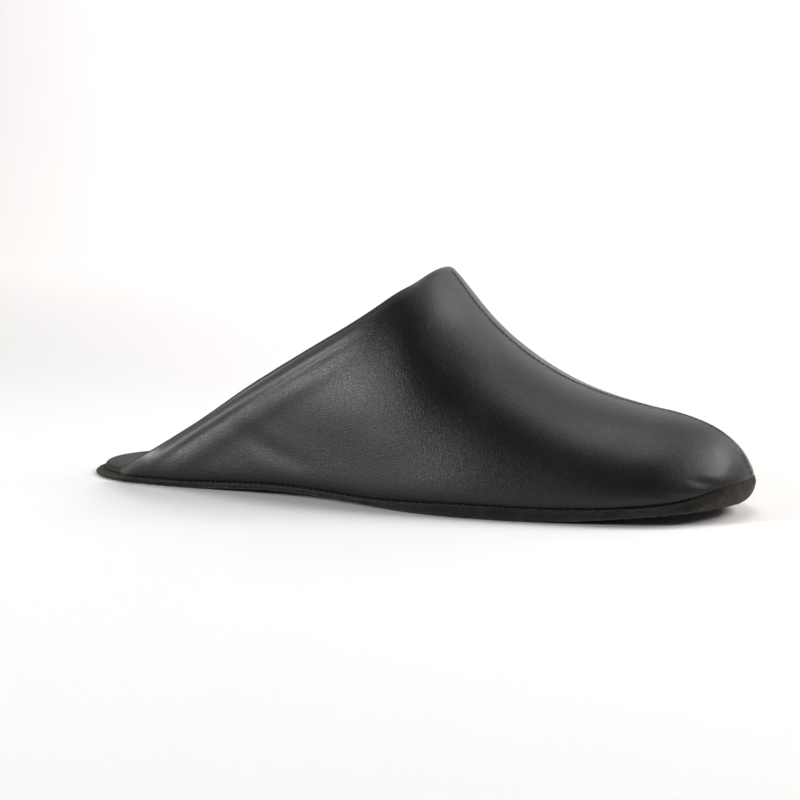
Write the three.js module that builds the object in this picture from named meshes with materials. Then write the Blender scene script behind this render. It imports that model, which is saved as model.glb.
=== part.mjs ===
import * as THREE from "three";

// Babouche slipper for the right foot, in millimetres
// x runs from heel to toe, y from the outer side to the inner side, z up from the floor

// main sizes, on the feather line where upper and sole meet
const LENGTH = 280;
const BALL = 94;
const INSTEP = 76.4;
const WALL = 2;
const GAP = 0.3;

// sole sizes
const EDGE = 4.6;
const BAND_OUT = 1.5;
const TOE_UNDER = 3;
const UNDER_POWER = 1.1;
const TOE_SPRING = 4.9;
const ARCH_OUTER = 2.6;
const ARCH_INNER = 7;

// insole sizes
const SOCK_EDGE = 2.6;
const SOCK_DOME = 1;
const SOCK_CLEAR = 0.5;
const SOCK_TOE_CLEAR = 1.5;

// upper sizes
const THROAT = 122.9;
const NOSE = 35;
const NOSE_POWER = 0.655;
const TUCK = 1.6;
const TOE_TUCK = -0.4;
const TUCK_RISE = 2;
const TUCK_FADE = 16;
const BELLY_WIDTH = 20;
const BELLY_HEIGHT = 12;
const BACK_END = 25;
const COLLAR_ROLL = 0.8;
const INSIDE_STEP = 0.1;

// places along the length, as shares of it
const HEEL_ROUND = 0.115;
const TOE_ROUND = 0.77;
const TOE_POWER = 3;
const ARCH_START = 0.18;
const ARCH_SPAN = 0.41;
const ARCH_POWER = 1.5;
const SPRING_START = 0.64;
const SPRING_END = 0.97;
const SPRING_POWER = 2;
const TOE_START = 0.9;
const TOE_UNDER_START = 0.93;
const TOE_UNDER_END = 0.99;

// mesh steps
const AHEAD = 26;
const BEHIND = 18;
const ACROSS = 15;
const AROUND = 56;
const CROWD_POWER = 2;
const NUDGE = 1e-5;

// outline: t along the length, half widths as shares of the ball width
const OUTLINE = [
  { t: 0.0, outer: 0.33, inner: 0.33 },
  { t: 0.12, outer: 0.345, inner: 0.335 },
  { t: 0.22, outer: 0.362, inner: 0.322 },
  { t: 0.33, outer: 0.395, inner: 0.285 },
  { t: 0.44, outer: 0.445, inner: 0.275 },
  { t: 0.54, outer: 0.495, inner: 0.325 },
  { t: 0.63, outer: 0.522, inner: 0.405 },
  { t: 0.72, outer: 0.51, inner: 0.462 },
  { t: 0.81, outer: 0.475, inner: 0.475 },
  { t: 0.9, outer: 0.45, inner: 0.415 },
  { t: 1.0, outer: 0.44, inner: 0.4 },
];

// height of the sole's edge, as a share of EDGE
const EDGES = [
  { t: 0.0, high: 0.46 },
  { t: 0.4, high: 0.42 },
  { t: 0.51, high: 0.5 },
  { t: 0.57, high: 0.82 },
  { t: 0.64, high: 1.03 },
  { t: 0.72, high: 1.04 },
  { t: 0.81, high: 0.9 },
  { t: 0.88, high: 0.8 },
  { t: 0.93, high: 0.94 },
  { t: 0.96, high: 1.36 },
  { t: 0.98, high: 1.8 },
  { t: 1.0, high: 2.0 },
];

// centre line of the top: back from the toe as a share of the length, height as a share of the instep
const RIDGE = [
  { back: 0.0, high: 0.34 },
  { back: 0.086, high: 0.304 },
  { back: 0.167, high: 0.343 },
  { back: 0.259, high: 0.443 },
  { back: 0.336, high: 0.603 },
  { back: 0.398, high: 0.812 },
  { back: 0.443, high: 1.006 },
  { back: 0.496, high: 1.132 },
  { back: 0.607, high: 1.362 },
  { back: 0.75, high: 1.49 },
  { back: 1.0, high: 1.545 },
];

// topline: back from the throat as a share of the length, drop as a share of the instep
const TOPLINE = [
  { back: 0.0, drop: 0.0 },
  { back: 0.008, drop: 0.048 },
  { back: 0.024, drop: 0.097 },
  { back: 0.05, drop: 0.168 },
  { back: 0.09, drop: 0.27 },
  { back: 0.14, drop: 0.379 },
  { back: 0.2, drop: 0.51 },
  { back: 0.27, drop: 0.665 },
  { back: 0.35, drop: 0.845 },
  { back: 0.42, drop: 1.0 },
  { back: 0.468, drop: 1.11 },
];

// section shape: powers on the width and the height, bulge as a share of the ball width
const SECTION = [
  { t: 0.0, wide: 1.0, high: 1.0, bulge: 0.032 },
  { t: 0.25, wide: 1.0, high: 1.0, bulge: 0.043 },
  { t: 0.42, wide: 1.0, high: 1.0, bulge: 0.043 },
  { t: 0.5, wide: 0.99, high: 0.985, bulge: 0.044 },
  { t: 0.56, wide: 1.0, high: 0.975, bulge: 0.037 },
  { t: 0.6, wide: 0.985, high: 1.0, bulge: 0.033 },
  { t: 0.7, wide: 1.03, high: 0.91, bulge: 0.02 },
  { t: 0.8, wide: 1.26, high: 0.915, bulge: 0.03 },
  { t: 0.9, wide: 1.235, high: 1.07, bulge: 0.013 },
  { t: 1.0, wide: 1.6, high: 1.24, bulge: 0.013 },
];

// band of the sole: out past the feather line as a share of the band, up as a share of the edge
const BAND = [
  { out: -5.3, up: 1.0 },
  { out: -1.5, up: 1.0 },
  { out: 0.0, up: 1.0 },
  { out: 0.53, up: 0.86 },
  { out: 0.94, up: 0.66 },
  { out: 1.0, up: 0.42 },
  { out: 0.7, up: 0.18 },
  { out: 0.12, up: 0.04 },
  { out: -1.3, up: 0.0 },
  { out: -5.3, up: 0.0 },
];

// edge of the insole: in, up as shares of its edge, and how much of the dome is reached
const SOCK = [
  { in: 2.9, up: 1.0, dome: 1 },
  { in: 1.35, up: 1.0, dome: 0.5 },
  { in: 0.42, up: 1.0, dome: 0.1 },
  { in: 0.04, up: 0.75, dome: 0 },
  { in: 0.0, up: 0.3, dome: 0 },
  { in: 0.15, up: 0.0, dome: 0 },
  { in: 2.9, up: 0.0, dome: 0 },
];

// smooth curve through one column of a table
function curve(rows, key, column) {
  const xs = rows.map((row) => row[key]);
  const ys = rows.map((row) => row[column]);
  const last = xs.length - 1;
  const steps = xs.slice(1).map((x, i) => x - xs[i]);
  const bend = new Array(last + 1).fill(0);
  const carry = new Array(last + 1).fill(0);
  for (let i = 1; i < last; i++) {
    const before = (ys[i] - ys[i - 1]) / steps[i - 1];
    const after = (ys[i + 1] - ys[i]) / steps[i];
    const pivot = 2 * (steps[i - 1] + steps[i]) - steps[i - 1] * carry[i - 1];
    carry[i] = steps[i] / pivot;
    bend[i] = (6 * (after - before) - steps[i - 1] * bend[i - 1]) / pivot;
  }
  for (let i = last - 1; i > 0; i--) bend[i] -= carry[i] * bend[i + 1];
  return (x) => {
    const at = Math.min(Math.max(x, xs[0]), xs[last]);
    let i = 0;
    while (i < last - 1 && at > xs[i + 1]) i++;
    const a = (xs[i + 1] - at) / steps[i];
    const b = 1 - a;
    const pull = (a ** 3 - a) * bend[i] + (b ** 3 - b) * bend[i + 1];
    return a * ys[i] + b * ys[i + 1] + (pull * steps[i] ** 2) / 6;
  };
}

const outerShare = curve(OUTLINE, "t", "outer");
const innerShare = curve(OUTLINE, "t", "inner");
const ridgeHigh = curve(RIDGE, "back", "high");
const toplineDrop = curve(TOPLINE, "back", "drop");
const edgeShare = curve(EDGES, "t", "high");
const widePower = curve(SECTION, "t", "wide");
const highPower = curve(SECTION, "t", "high");
const bulgeShare = curve(SECTION, "t", "bulge");

const clamp = (v) => Math.min(Math.max(v, 0), 1);
const ease = (v) => clamp(v) ** 2 * (3 - 2 * clamp(v));

// half width of the feather line at t; side is -1 for the outer side, 1 for the inner
function halfWidth(t, side) {
  const toe = clamp((t - TOE_ROUND) / (1 - TOE_ROUND));
  const heel = clamp((HEEL_ROUND - t) / HEEL_ROUND);
  const ends = Math.sqrt(1 - toe ** TOE_POWER) * Math.sqrt(1 - heel ** 2);
  return BALL * ends * (side < 0 ? outerShare(t) : innerShare(t));
}

// underside of the sole: arch in the waist, spring at the toe, flat at heel and ball
function underside(t, side) {
  const arch = Math.max(Math.sin(Math.PI * clamp((t - ARCH_START) / ARCH_SPAN)), 0) ** ARCH_POWER;
  const spring = ease((t - SPRING_START) / (SPRING_END - SPRING_START)) ** SPRING_POWER;
  return (side < 0 ? ARCH_OUTER : ARCH_INNER) * arch + TOE_SPRING * spring;
}

const edgeHeight = (t) => EDGE * edgeShare(t);
const featherHeight = (t, side) => underside(t, side) + edgeHeight(t);
const TOE_TOP = featherHeight(1, 1);

function ridgeHeight(t) {
  const round = 1 - clamp(1 - ((1 - t) * LENGTH) / NOSE) ** 2;
  return TOE_TOP + INSTEP * ridgeHigh(1 - t) * round ** NOSE_POWER;
}

// outward direction of the feather line in plan
function outward(t, side) {
  const ahead = Math.min(t + NUDGE, 1);
  const back = Math.max(t - NUDGE, 0);
  const run = (ahead - back) * LENGTH;
  const rise = halfWidth(ahead, side) - halfWidth(back, side);
  const size = Math.hypot(run, rise);
  return [-rise / size, (side * run) / size];
}

// point of the upper's outside: turn goes from 0 at the feather line to 1 at the centre line
function skin(t, side, turn) {
  const angle = (turn * Math.PI) / 2;
  const width = halfWidth(t, side);
  const foot = featherHeight(t, side);
  const full = Math.max(ridgeHeight(t) - foot, 0);
  const across = turn < 1 ? Math.cos(angle) ** widePower(t) : 0;
  const rise = full * Math.sin(angle) ** highPower(t);
  const swell = BALL * bulgeShare(t) * clamp(width / BELLY_WIDTH) * clamp(full / BELLY_HEIGHT);
  const most = TUCK + (TOE_TUCK - TUCK) * ease((t - TOE_START) / (1 - TOE_START));
  const tuck = most * (1 - Math.exp(-rise / TUCK_RISE)) * Math.exp(-((rise / TUCK_FADE) ** 2));
  const [near, ny] = outward(t, side);
  const [far] = outward(t, -side);
  const lean = near + ((far - near) / 2) * (1 - Math.sqrt(across));
  const belly = turn < 1 ? side * swell * Math.sin(2 * angle) : 0;
  const y = side * width * across + belly + tuck * ny * Math.sqrt(across);
  return new THREE.Vector3(t * LENGTH + tuck * lean, y, foot + rise);
}

const THROAT_T = 1 - THROAT / LENGTH;
const BACK_T = BACK_END / LENGTH;

// turn at which the topline cuts the section
function toplineTurn(t, side) {
  if (t >= THROAT_T) return 1;
  const foot = featherHeight(t, side);
  const height = ridgeHeight(THROAT_T) - INSTEP * toplineDrop(THROAT_T - t);
  const share = clamp((height - foot) / (ridgeHeight(t) - foot));
  return (Math.asin(share ** (1 / highPower(t))) * 2) / Math.PI;
}

// turn of row j: low rows keep their place and high rows crowd up to the topline
function rowTurn(j, t, side) {
  const share = j / ACROSS;
  const most = toplineTurn(t, side);
  if (most === 1) return share;
  const crowd = Math.min(3, -0.8 / Math.log(most));
  return share * most ** (share ** crowd);
}

// outward direction of the skin
function facing(t, side, turn) {
  const mid = Math.min(t, 1 - 4 * NUDGE);
  const at = Math.min(Math.max(turn, 0.02), 0.985);
  const along = skin(mid + NUDGE, side, at).sub(skin(mid - NUDGE, side, at));
  const up = skin(mid, side, at + NUDGE).sub(skin(mid, side, at - NUDGE));
  return along.cross(up).multiplyScalar(-side).normalize();
}

// outside and inside points on the centre line, the same for both sides
function crest(t) {
  const ahead = skin(Math.min(t + NUDGE, 1), -1, 1);
  const back = skin(t - NUDGE, -1, 1);
  const run = ahead.sub(back);
  const n = t === 1 ? new THREE.Vector3(1, 0, 0) : new THREE.Vector3(-run.z, 0, run.x).normalize();
  const p = new THREE.Vector3(skin(t, -1, 1).x, 0, ridgeHeight(t));
  return [p, p.clone().addScaledVector(n, -WALL)];
}

// stations along the upper, closer together at the throat and at the toe
function stations() {
  const list = [];
  for (let k = BEHIND; k > 0; k--) {
    list.push(THROAT_T - (THROAT_T - BACK_T) * (k / BEHIND) ** CROWD_POWER);
  }
  for (let k = 0; k <= AHEAD; k++) {
    list.push(THROAT_T + (1 - THROAT_T) * Math.sin((k / AHEAD) * (Math.PI / 2)));
  }
  return list;
}

class Shell {
  constructor() {
    this.points = [];
  }

  face(a, b, c) {
    const same = Math.min(a.distanceTo(b), b.distanceTo(c), c.distanceTo(a)) < 1e-9;
    if (!same) this.points.push(a, b, c);
  }

  quad(a, b, c, d) {
    this.face(a, b, c);
    this.face(a, c, d);
  }

  // strip between two rows of points
  strip(low, high, flip) {
    for (let i = 0; i + 1 < low.length; i++) {
      if (flip) this.quad(low[i], high[i], high[i + 1], low[i + 1]);
      else this.quad(low[i], low[i + 1], high[i + 1], high[i]);
    }
  }

  geometry() {
    const flat = this.points.flatMap((p) => [p.x, p.y, p.z]);
    const out = new THREE.BufferGeometry();
    out.setAttribute("position", new THREE.Float32BufferAttribute(flat, 3));
    out.computeVertexNormals();
    return out;
  }
}

// rows of one side of the upper, from the feather line up, outside and inside
function upperRows(side) {
  const list = stations();
  const outside = [];
  const inside = [];
  for (let j = 0; j <= ACROSS; j++) {
    const outerRow = [];
    const innerRow = [];
    for (const t of list) {
      const turn = rowTurn(j, t, side);
      let pair = crest(t);
      if (turn < 1 && t < 1) {
        const n = facing(t, side, turn);
        if (j === 0) n.z = 0;
        const p = skin(t, side, turn);
        const q = p.clone().addScaledVector(n.normalize(), -WALL);
        q.z = Math.max(q.z, featherHeight(t, side) + j * INSIDE_STEP);
        pair = [p, q];
      }
      outerRow.push(pair[0]);
      innerRow.push(pair[1]);
    }
    outside.push(outerRow);
    inside.push(innerRow);
  }
  return { outside, inside };
}

// rolled edge along the collar, from the outer back end through the throat to the inner back end
function collarRoll(outer, inner) {
  const edge = (rows) => [
    ...rows.outer.slice(0, BEHIND + 1),
    ...rows.inner.slice(0, BEHIND).reverse(),
  ];
  const outsideEdge = edge({ outer: outer.outside[ACROSS], inner: inner.outside[ACROSS] });
  const insideEdge = edge({ outer: outer.inside[ACROSS], inner: inner.inside[ACROSS] });
  const roll = outsideEdge.map((p, i) => {
    const q = insideEdge[i];
    const before = outsideEdge[Math.max(i - 1, 0)];
    const after = outsideEdge[Math.min(i + 1, outsideEdge.length - 1)];
    const along = after.clone().sub(before);
    const up = along.cross(p.clone().sub(q)).normalize();
    return p.clone().add(q).multiplyScalar(0.5).addScaledVector(up, COLLAR_ROLL);
  });
  return { outsideEdge, insideEdge, roll };
}

function upperShell() {
  const shell = new Shell();
  const outer = upperRows(-1);
  const inner = upperRows(1);
  for (const [rows, flip] of [[outer, false], [inner, true]]) {
    for (let j = 0; j < ACROSS; j++) {
      shell.strip(rows.outside[j], rows.outside[j + 1], flip);
      shell.strip(rows.inside[j], rows.inside[j + 1], !flip);
    }
    shell.strip(rows.inside[0], rows.outside[0], flip);
    const heel = (grid) => grid.map((row) => row[0]);
    shell.strip(heel(rows.outside), heel(rows.inside), flip);
  }
  const { outsideEdge, insideEdge, roll } = collarRoll(outer, inner);
  shell.strip(outsideEdge, roll, false);
  shell.strip(roll, insideEdge, false);
  const last = roll.length - 1;
  shell.face(outsideEdge[0], roll[0], insideEdge[0]);
  shell.face(outsideEdge[last], insideEdge[last], roll[last]);
  return shell;
}

// closed ring out from the feather line: outer side heel to toe, then inner side back
function ring(out, height) {
  const points = [];
  for (let k = 0; k < 2 * AROUND; k++) {
    const side = k <= AROUND ? -1 : 1;
    const t = (1 - Math.cos((Math.PI * k) / AROUND)) / 2;
    const tip = k % AROUND === 0;
    const [nx, ny] = tip ? [k === 0 ? -1 : 1, 0] : outward(t, side);
    const x = t * LENGTH + out(t) * nx;
    const y = tip ? 0 : side * halfWidth(t, side) + out(t) * ny;
    points.push(new THREE.Vector3(x, y, height(t, side)));
  }
  return points;
}

// shell from rings that run from the middle of one face over the edge to the middle of the other
function ringShell(rings) {
  const shell = new Shell();
  const closed = (points) => [...points, points[0]];
  for (let i = 0; i + 1 < rings.length; i++) {
    shell.strip(closed(rings[i]), closed(rings[i + 1]), true);
  }
  for (const [points, flip] of [[rings[0], false], [rings[rings.length - 1], true]]) {
    const near = points.slice(0, AROUND + 1);
    const far = [points[0], ...points.slice(AROUND).reverse()];
    shell.strip(near, far, flip);
  }
  return shell;
}

// how far a row of the band stands out past the feather line; at the toe it rounds under
function bandOut(t, row) {
  const toe = ease((t - TOE_UNDER_START) / (TOE_UNDER_END - TOE_UNDER_START));
  return row.out * BAND_OUT - TOE_UNDER * toe * (1 - row.up) ** UNDER_POWER;
}

function soleShell() {
  return ringShell(
    BAND.map((row) =>
      ring(
        (t) => bandOut(t, row),
        (t, side) => underside(t, side) + row.up * (edgeHeight(t) - GAP),
      ),
    ),
  );
}

// how far a row of the insole stands in from the feather line, further at the toe
function sockOut(t, row) {
  const toe = ease((t - TOE_START) / (1 - TOE_START));
  return -WALL - SOCK_CLEAR - SOCK_TOE_CLEAR * toe - row.in * SOCK_EDGE;
}

function sockShell() {
  return ringShell(
    SOCK.map((row) =>
      ring(
        (t) => sockOut(t, row),
        (t, side) => featherHeight(t, side) + row.up * SOCK_EDGE + row.dome * SOCK_DOME,
      ),
    ),
  );
}

const LEATHER = new THREE.MeshStandardMaterial({ color: 0x1b1a1a, roughness: 0.5, metalness: 0 });
const SUEDE = new THREE.MeshStandardMaterial({ color: 0x2b2621, roughness: 0.9, metalness: 0 });
const LINING = new THREE.MeshStandardMaterial({ color: 0x201e1d, roughness: 0.7, metalness: 0 });

const PIECES = [
  { name: "upper", shell: upperShell(), material: LEATHER },
  { name: "sole", shell: soleShell(), material: SUEDE },
  { name: "insole", shell: sockShell(), material: LINING },
];

// origin at the middle of the bottom of the whole box
const slipper = new THREE.Group();
slipper.name = "babouche_slipper";
const box = new THREE.Box3();
for (const piece of PIECES) box.union(new THREE.Box3().setFromPoints(piece.shell.points));
const middle = box.getCenter(new THREE.Vector3());

for (const piece of PIECES) {
  const geometry = piece.shell.geometry();
  geometry.translate(-middle.x, -middle.y, -box.min.z);
  const mesh = new THREE.Mesh(geometry, piece.material);
  mesh.name = piece.name;
  slipper.add(mesh);
}

export default slipper;
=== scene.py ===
import bpy
import numpy as np
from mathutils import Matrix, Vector
from mathutils.bvhtree import BVHTree


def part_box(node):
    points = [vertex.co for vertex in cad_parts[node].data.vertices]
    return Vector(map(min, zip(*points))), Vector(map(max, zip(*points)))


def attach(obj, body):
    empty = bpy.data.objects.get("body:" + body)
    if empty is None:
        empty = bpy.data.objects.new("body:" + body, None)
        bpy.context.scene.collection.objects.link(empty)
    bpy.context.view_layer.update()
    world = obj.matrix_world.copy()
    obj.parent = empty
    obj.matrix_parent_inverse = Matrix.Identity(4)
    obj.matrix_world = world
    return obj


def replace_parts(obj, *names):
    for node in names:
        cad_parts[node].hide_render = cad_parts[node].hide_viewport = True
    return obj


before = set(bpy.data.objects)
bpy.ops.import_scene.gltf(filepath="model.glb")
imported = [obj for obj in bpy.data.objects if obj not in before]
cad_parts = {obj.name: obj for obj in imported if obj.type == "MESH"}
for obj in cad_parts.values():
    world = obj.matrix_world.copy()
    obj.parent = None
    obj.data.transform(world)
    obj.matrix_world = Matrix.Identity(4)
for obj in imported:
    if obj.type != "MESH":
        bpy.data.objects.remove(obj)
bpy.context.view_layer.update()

# Babouche slipper, right foot. Lengths are in millimetres on the last: x from heel to toe along the
# feather line, y to the inner side of the foot, z up from the floor. row() turns them into metres.

# last and pattern
LENGTH = 280.0
BALL = 94.0
INSTEP = 76.4
WALL = 2.0
THROAT = 122.9
BACK_END = 25.0
NOSE = 35.0
NOSE_POWER = 0.655
TUCK = 1.6
TOE_TUCK = -0.4
TUCK_RISE = 2.0
TUCK_FADE = 16.0
BELLY_WIDTH = 20.0
BELLY_HEIGHT = 12.0

# sole and sock
EDGE = 4.6
BAND_OUT = 1.5
TOE_UNDER = 3.0
UNDER_POWER = 1.1
TOE_SPRING = 4.9
ARCH_OUTER = 2.6
ARCH_INNER = 7.0
SOCK_EDGE = 2.6
SOCK_DOME = 1.0
SOCK_CLEAR = 0.5
SOCK_TOE_CLEAR = 1.5
GAP = 0.3

# places along the length, as shares of it
HEEL_ROUND = 0.115
TOE_ROUND = 0.77
TOE_POWER = 3
ARCH_START = 0.18
ARCH_SPAN = 0.41
ARCH_POWER = 1.5
SPRING_START = 0.64
SPRING_END = 0.97
SPRING_POWER = 2
TOE_START = 0.90
TOE_UNDER_START = 0.93
TOE_UNDER_END = 0.99
THROAT_T = 1 - THROAT / LENGTH
BACK_T = BACK_END / LENGTH

OUTER, INNER = -1, 1

# t along the length, half widths as shares of the ball width
OUTLINE = np.array([
    # t, outer, inner
    [0.00, 0.330, 0.330],
    [0.12, 0.345, 0.335],
    [0.22, 0.362, 0.322],
    [0.33, 0.395, 0.285],
    [0.44, 0.445, 0.275],
    [0.54, 0.495, 0.325],
    [0.63, 0.522, 0.405],
    [0.72, 0.510, 0.462],
    [0.81, 0.475, 0.475],
    [0.90, 0.450, 0.415],
    [1.00, 0.440, 0.400],
])

# height of the sole's edge, as a share of EDGE
EDGES = np.array([
    # t, high
    [0.00, 0.46],
    [0.40, 0.42],
    [0.51, 0.50],
    [0.57, 0.82],
    [0.64, 1.03],
    [0.72, 1.04],
    [0.81, 0.90],
    [0.88, 0.80],
    [0.93, 0.94],
    [0.96, 1.36],
    [0.98, 1.80],
    [1.00, 2.00],
])

# centre line of the top: back from the toe as a share of the length, height as a share of the instep
RIDGE = np.array([
    # back, high
    [0.000, 0.340],
    [0.086, 0.304],
    [0.167, 0.343],
    [0.259, 0.443],
    [0.336, 0.603],
    [0.398, 0.812],
    [0.443, 1.006],
    [0.496, 1.132],
    [0.607, 1.362],
    [0.750, 1.490],
    [1.000, 1.545],
])

# topline: back from the throat as a share of the length, drop as a share of the instep
TOPLINE = np.array([
    # back, drop
    [0.000, 0.000],
    [0.008, 0.048],
    [0.024, 0.097],
    [0.050, 0.168],
    [0.090, 0.270],
    [0.140, 0.379],
    [0.200, 0.510],
    [0.270, 0.665],
    [0.350, 0.845],
    [0.420, 1.000],
    [0.468, 1.110],
])

# section shape: powers on the width and the height, bulge as a share of the ball width
SECTION = np.array([
    # t, wide, high, bulge
    [0.00, 1.00, 1.00, 0.032],
    [0.25, 1.00, 1.00, 0.043],
    [0.42, 1.00, 1.00, 0.043],
    [0.50, 0.99, 0.985, 0.044],
    [0.56, 1.00, 0.975, 0.037],
    [0.60, 0.985, 1.00, 0.033],
    [0.70, 1.03, 0.91, 0.020],
    [0.80, 1.26, 0.915, 0.030],
    [0.90, 1.235, 1.07, 0.013],
    [1.00, 1.60, 1.24, 0.013],
])


def curve(rows, column):
    """Smooth curve through one column of a table, over its first column."""
    xs, ys = rows[:, 0], rows[:, column]
    steps = np.diff(xs)
    size = len(xs)
    system = np.eye(size)
    load = np.zeros(size)
    for i in range(1, size - 1):
        system[i, i - 1:i + 2] = steps[i - 1], 2 * (steps[i - 1] + steps[i]), steps[i]
        load[i] = 6 * ((ys[i + 1] - ys[i]) / steps[i] - (ys[i] - ys[i - 1]) / steps[i - 1])
    bend = np.linalg.solve(system, load)

    def at(x):
        x = np.clip(x, xs[0], xs[-1])
        i = np.clip(np.searchsorted(xs, x, side="right") - 1, 0, size - 2)
        a = (xs[i + 1] - x) / steps[i]
        b = 1 - a
        pull = (a ** 3 - a) * bend[i] + (b ** 3 - b) * bend[i + 1]
        return a * ys[i] + b * ys[i + 1] + pull * steps[i] ** 2 / 6

    return at


outer_share, inner_share = curve(OUTLINE, 1), curve(OUTLINE, 2)
ridge_high = curve(RIDGE, 1)
topline_drop = curve(TOPLINE, 1)
edge_share = curve(EDGES, 1)
wide_power, high_power, bulge_share = (curve(SECTION, i) for i in (1, 2, 3))


def ease(v):
    v = np.clip(v, 0, 1)
    return v * v * (3 - 2 * v)


def bump(v):
    """Round hump of height 1 and half-width about 1."""
    return np.exp(-v * v)


def half_width(t, side):
    """Half width of the feather line, rounded off at the toe and the heel."""
    toe = np.clip((t - TOE_ROUND) / (1 - TOE_ROUND), 0, 1)
    heel = np.clip((HEEL_ROUND - t) / HEEL_ROUND, 0, 1)
    ends = np.sqrt(1 - toe ** TOE_POWER) * np.sqrt(1 - heel ** 2)
    return BALL * ends * (outer_share(t) if side == OUTER else inner_share(t))


def underside(t, side):
    """Height of the sole's bottom over the floor: an arch at the waist and a spring at the toe."""
    arch = np.sin(np.pi * np.clip((t - ARCH_START) / ARCH_SPAN, 0, 1)).clip(0) ** ARCH_POWER
    spring = ease((t - SPRING_START) / (SPRING_END - SPRING_START)) ** SPRING_POWER
    return (ARCH_OUTER if side == OUTER else ARCH_INNER) * arch + TOE_SPRING * spring


def edge_height(t):
    return EDGE * edge_share(t)


def feather_height(t, side):
    return underside(t, side) + edge_height(t)


TOE_TOP = float(feather_height(np.array(1.0), INNER))


def ridge_height(t):
    """Height of the centre line of the top, brought down round the nose."""
    inward = 1 - np.clip(1 - (1 - t) * LENGTH / NOSE, 0, 1) ** 2
    return TOE_TOP + INSTEP * ridge_high(1 - t) * inward ** NOSE_POWER


def outward(t, side):
    """Outward direction of the feather line in plan."""
    nudge = 1e-5
    ahead, back = np.minimum(t + nudge, 1), np.maximum(t - nudge, 0)
    run = (ahead - back) * LENGTH
    rise = half_width(ahead, side) - half_width(back, side)
    size = np.hypot(run, rise)
    return -rise / size, side * run / size


def skin(t, side, turn):
    """Points of the upper's outside: turn 0 on the feather line, 1 on the centre line."""
    angle = turn * np.pi / 2
    width = half_width(t, side)
    foot = feather_height(t, side)
    full = np.maximum(ridge_height(t) - foot, 0)
    across = np.where(turn < 1, np.cos(angle).clip(0) ** wide_power(t), 0)
    rise = full * np.sin(angle) ** high_power(t)
    swell = BALL * bulge_share(t) * np.clip(width / BELLY_WIDTH, 0, 1) * np.clip(full / BELLY_HEIGHT, 0, 1)
    tuck = TUCK + (TOE_TUCK - TUCK) * ease((t - TOE_START) / (1 - TOE_START))
    tuck = tuck * (1 - np.exp(-rise / TUCK_RISE)) * bump(rise / TUCK_FADE)
    near, ny = outward(t, side)
    far, _ = outward(t, -side)
    lean = near + (far - near) / 2 * (1 - np.sqrt(across))
    belly = np.where(turn < 1, side * swell * np.sin(2 * angle), 0)
    y = side * width * across + belly + tuck * ny * np.sqrt(across)
    return np.stack([t * LENGTH + tuck * lean, y, foot + rise], -1)


def topline_turn(t, side):
    """Turn at which the topline cuts each section."""
    foot = feather_height(t, side)
    height = ridge_height(np.array(THROAT_T)) - INSTEP * topline_drop(np.clip(THROAT_T - t, 0, 1))
    share = np.clip((height - foot) / np.maximum(ridge_height(t) - foot, 1e-6), 0, 1)
    return np.where(t >= THROAT_T, 1, np.arcsin(share ** (1 / high_power(t))) * 2 / np.pi)


# the widest part of the sole and the CAD box give the place of the last in the part's frame
PER_METRE = 1000
FINE_T = np.linspace(0, 1, 2001)
sole_low = np.array(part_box("sole")[0]) * PER_METRE
PLACE = np.array([
    -BAND_OUT - sole_low[0],
    -half_width(FINE_T, OUTER).max() - BAND_OUT - sole_low[1],
    0,
])


def row(points):
    """Millimetres on the last to metres in the part's frame."""
    return (np.asarray(points, float) - PLACE) / PER_METRE


def grid_quads(number, flip):
    """Quads of a grid of vertex numbers; repeated corners at a pole make triangles."""
    a, b, c, d = number[:-1, :-1], number[:-1, 1:], number[1:, 1:], number[1:, :-1]
    return np.stack([a, d, c, b] if flip else [a, b, c, d], -1).reshape(-1, 4)


def clean_faces(quads):
    faces = []
    for quad in quads.tolist():
        kept = [v for i, v in enumerate(quad) if v != quad[i - 1]]
        if len(set(kept)) > 2:
            faces.append(kept)
    return faces


def normals_of(points, faces):
    """Vertex normals, weighted by area."""
    corners = np.array([f if len(f) == 4 else f + f[-1:] for f in faces])
    p = points[corners]
    n = np.cross(p[:, 2] - p[:, 0], p[:, 3] - p[:, 1])
    out = np.zeros_like(points)
    for k in range(4):
        np.add.at(out, corners[:, k], n)
    return out / np.maximum(np.linalg.norm(out, axis=1, keepdims=True), 1e-12)


def unit(v):
    return v / np.maximum(np.linalg.norm(v, axis=-1, keepdims=True), 1e-12)


def run_along(points):
    """Running length along the first axis of an array of points."""
    steps = np.linalg.norm(np.diff(points, axis=0), axis=-1)
    return np.concatenate([np.zeros((1,) + steps.shape[1:]), np.cumsum(steps, axis=0)])


def make_piece(name, points, faces, material, slot, **masks):
    """Mesh in the part's frame that rides on the shoe, with a mask for each vertex where one is given."""
    mesh = bpy.data.meshes.new(name)
    mesh.from_pydata(row(points).tolist(), [], faces)
    mesh.polygons.foreach_set("use_smooth", [True] * len(mesh.polygons))
    for mask, values in masks.items():
        layer = mesh.attributes.new(mask, "FLOAT", "POINT")
        layer.data.foreach_set("value", np.asarray(values, np.float32))
    mesh.update()
    mesh.materials.append(material)
    piece = bpy.data.objects.new(name, mesh)
    bpy.context.collection.objects.link(piece)
    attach(piece, "root")
    return piece


# node tools
def socket(group, name, way, kind="NodeSocketFloat", value=None):
    made = group.interface.new_socket(name=name, in_out=way, socket_type=kind)
    if value is not None:
        made.default_value = value


def node(tree, kind, **settings):
    """Adds a node; settings name its properties, or its inputs where it has no such property."""
    made = tree.nodes.new(kind)
    for key, value in settings.items():
        if hasattr(made, key):
            setattr(made, key, value)
        else:
            made.inputs[key.replace("_", " ")].default_value = value
    return made


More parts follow.
